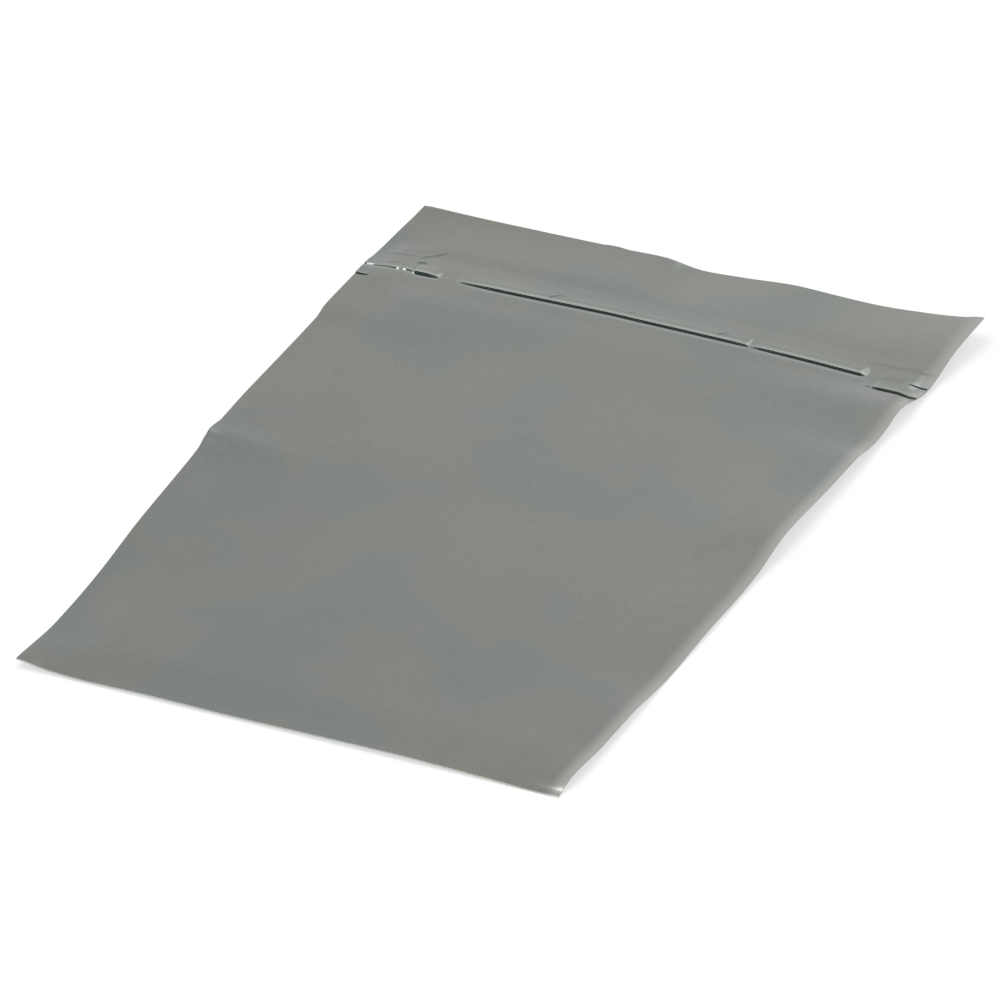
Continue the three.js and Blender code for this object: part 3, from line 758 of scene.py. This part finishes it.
def buildStrip(name, section, seat, tree, sockets, plastic):
    halfSpan = strip["halfSpan"]
    start = bag["weld"] + zipper["inset"]
    across = np.linspace(start, bag["width"] - start, strip["steps"]) / bag["width"]
    y = zipY + zipShift(across, np.full_like(across, zipY))
    x = plan(across, y)
    height, ends = heightAcross(x) * creasedAcross(x), endShare(across)
    inWeld = ends + (1 - ends) * zipper["inWeld"]
    attributes = {
        "pathX": x * mm,
        "lineY": y * mm,
        "restLow": restHeight(across, y - halfSpan) * mm,
        "restMid": restHeight(across, y) * mm,
        "restHigh": restHeight(across, y + halfSpan) * mm,
        "stepShare": zipper["step"] * (height + flangeAcross(x)) * inWeld * mm,
        "profileShare": np.clip(strip["crushedShare"] + strip["risenShare"] * height, 0, 1),
        "endShare": ends,
    }
    path = lineMesh(name, [(a * mm, zipY * mm, 0) for a in x], False, attributes)
    place, height, crushed, follow = np.array(section).T
    ring = [(p * mm, h * mm, 0) for p, h in zip(place, height + crushed)]
    outline = lineMesh(name + "_section", ring, True, {
        "place": place * mm, "height": height * mm, "crushed": crushed * mm, "follow": follow,
    })
    sweep = path.modifiers.new("sweep", "NODES")
    sweep.node_group = tree
    for key, value in (
        ("Section", outline), ("Film", bag["film"] * mm), ("Seat", seat * mm),
        ("Half Span", halfSpan * mm), ("Plastic", plastic),
    ):
        sweep[sockets[key]] = value
    bpy.context.view_layer.update()
    evaluated = path.evaluated_get(bpy.context.evaluated_depsgraph_get())
    mesh = bpy.data.meshes.new_from_object(evaluated)
    path.modifiers.remove(sweep)
    path.data = mesh
    bpy.data.objects.remove(outline)
    outward = bmesh.new()
    outward.from_mesh(mesh)
    bmesh.ops.recalc_face_normals(outward, faces=outward.faces)
    outward.to_mesh(mesh)
    outward.free()
    print("strip:", name, len(mesh.polygons), "faces")
    return path


filmPiece = buildFilm()
filmPiece.data.materials.append(filmMaterial())
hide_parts("film_envelope")
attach(filmPiece, "root")

plastic = stripMaterial()
tree, sockets = sweepTree()
for name, node, section, seat in (
    ("groove_strip", "zip_groove_strip", grooveSection(), zipper["seat"]),
    ("rib_strip", "zip_rib_strip", ribSection(), flangesApart - zipper["seat"]),
):
    piece = buildStrip(name, section, seat, tree, sockets, plastic)
    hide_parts(node)
    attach(piece, "root")

# floor, world and lamps
studio = {
    "floorSize": 30.0,
    "floorGap": 0.00002,
    "floor": "#b4b4b4",
    "floorGlow": 0.6,
    "worldSeen": 1.0,
    "worldLight": 0.7,
    # place in metres, size, watts
    "lamps": {
        "overheadSoftbox": ((-0.58, -0.1, 1.5), 1.0, 8.0),
        "rightSoftbox": ((0.0, 1.56, 1.26), 0.7, 0.85),
    },
}


def seenRays(tree):  # rays from the camera, and those mirrored or passed on by a surface
    light = addNode(tree, "ShaderNodeLightPath").outputs
    seen = addNode(tree, "ShaderNodeMath", {"operation": "MAXIMUM"},
                   {0: light["Is Camera Ray"], 1: light["Is Glossy Ray"]})
    return addNode(tree, "ShaderNodeMath", {"operation": "MAXIMUM"},
                   {0: seen.outputs[0], 1: light["Is Transmission Ray"]}).outputs[0]


def makeFloor():
    mesh = bpy.data.meshes.new("floor")
    s, z = studio["floorSize"], -studio["floorGap"]
    mesh.from_pydata([(-s, -s, z), (s, -s, z), (s, s, z), (-s, s, z)], [], [(0, 1, 2, 3)])
    floor = bpy.data.objects.new("floor", mesh)
    bpy.context.scene.collection.objects.link(floor)
    material, tree = newMaterial("whiteSweep")
    matte = addNode(tree, "ShaderNodeBsdfDiffuse", {"Color": toLinear(studio["floor"])})
    glow = addNode(tree, "ShaderNodeEmission", {"Color": [studio["floorGlow"]] * 3 + [1]},
                   {"Strength": seenRays(tree)})
    both = addNode(tree, "ShaderNodeAddShader", None, {0: matte.outputs[0], 1: glow.outputs[0]})
    addNode(tree, "ShaderNodeOutputMaterial", None, {"Surface": both.outputs[0]})
    mesh.materials.append(material)


def makeWorld():
    world = bpy.data.worlds.new("studio")
    bpy.context.scene.world = world
    world.use_nodes = True
    tree = world.node_tree
    tree.nodes.clear()
    strength = addNode(tree, "ShaderNodeMapRange", {
        "To Min": studio["worldLight"], "To Max": studio["worldSeen"],
    }, {"Value": seenRays(tree)})
    back = addNode(tree, "ShaderNodeBackground", None, {"Strength": strength.outputs[0]})
    back.inputs["Color"].default_value = (1, 1, 1, 1)
    addNode(tree, "ShaderNodeOutputWorld", None, {"Surface": back.outputs[0]})


def makeLamps():
    for name, (place, size, power) in studio["lamps"].items():
        lamp = bpy.data.lights.new(name, "AREA")
        lamp.size = size
        lamp.energy = power
        hung = bpy.data.objects.new(name, lamp)
        hung.location = place
        hung.rotation_euler = (-Vector(place)).to_track_quat("-Z", "Y").to_euler()
        bpy.context.scene.collection.objects.link(hung)


# camera at the photo's angle, with a long lens; lengths in millimetres
camera = {
    "azimuth": 24.8077,
    "elevation": 31.2292,
    "distance": 6454.65,
    "across": 0.446,
    "above": -0.063,
    "lens": 1400.0,
    "sensor": 36.0,
    "shift": 0.5,  # the fitted view's centre lies this far from the bag's
}


def makeCamera():
    azimuth, elevation = math.radians(camera["azimuth"]), math.radians(camera["elevation"])
    back = Vector((math.sin(azimuth) * math.cos(elevation),
                   -math.cos(azimuth) * math.cos(elevation), math.sin(elevation)))
    right = Vector((math.cos(azimuth), math.sin(azimuth), 0))
    up = back.cross(right)
    data = bpy.data.cameras.new("camera")
    data.lens = camera["lens"]
    data.sensor_width = camera["sensor"]
    data.clip_start = 0.1
    data.clip_end = 50
    view = bpy.data.objects.new("camera", data)
    place = right * camera["across"] + up * camera["above"] + back * camera["distance"]
    place = (place - Vector((camera["shift"], 0, 0))) * mm
    turn = Matrix((right, up, back)).transposed().to_4x4()
    view.matrix_world = Matrix.Translation(place) @ turn
    bpy.context.scene.collection.objects.link(view)
    bpy.context.scene.camera = view


makeFloor()
makeWorld()
makeLamps()
makeCamera()
bpy.context.scene.view_settings.view_transform = "Standard"
print("studio and camera placed")
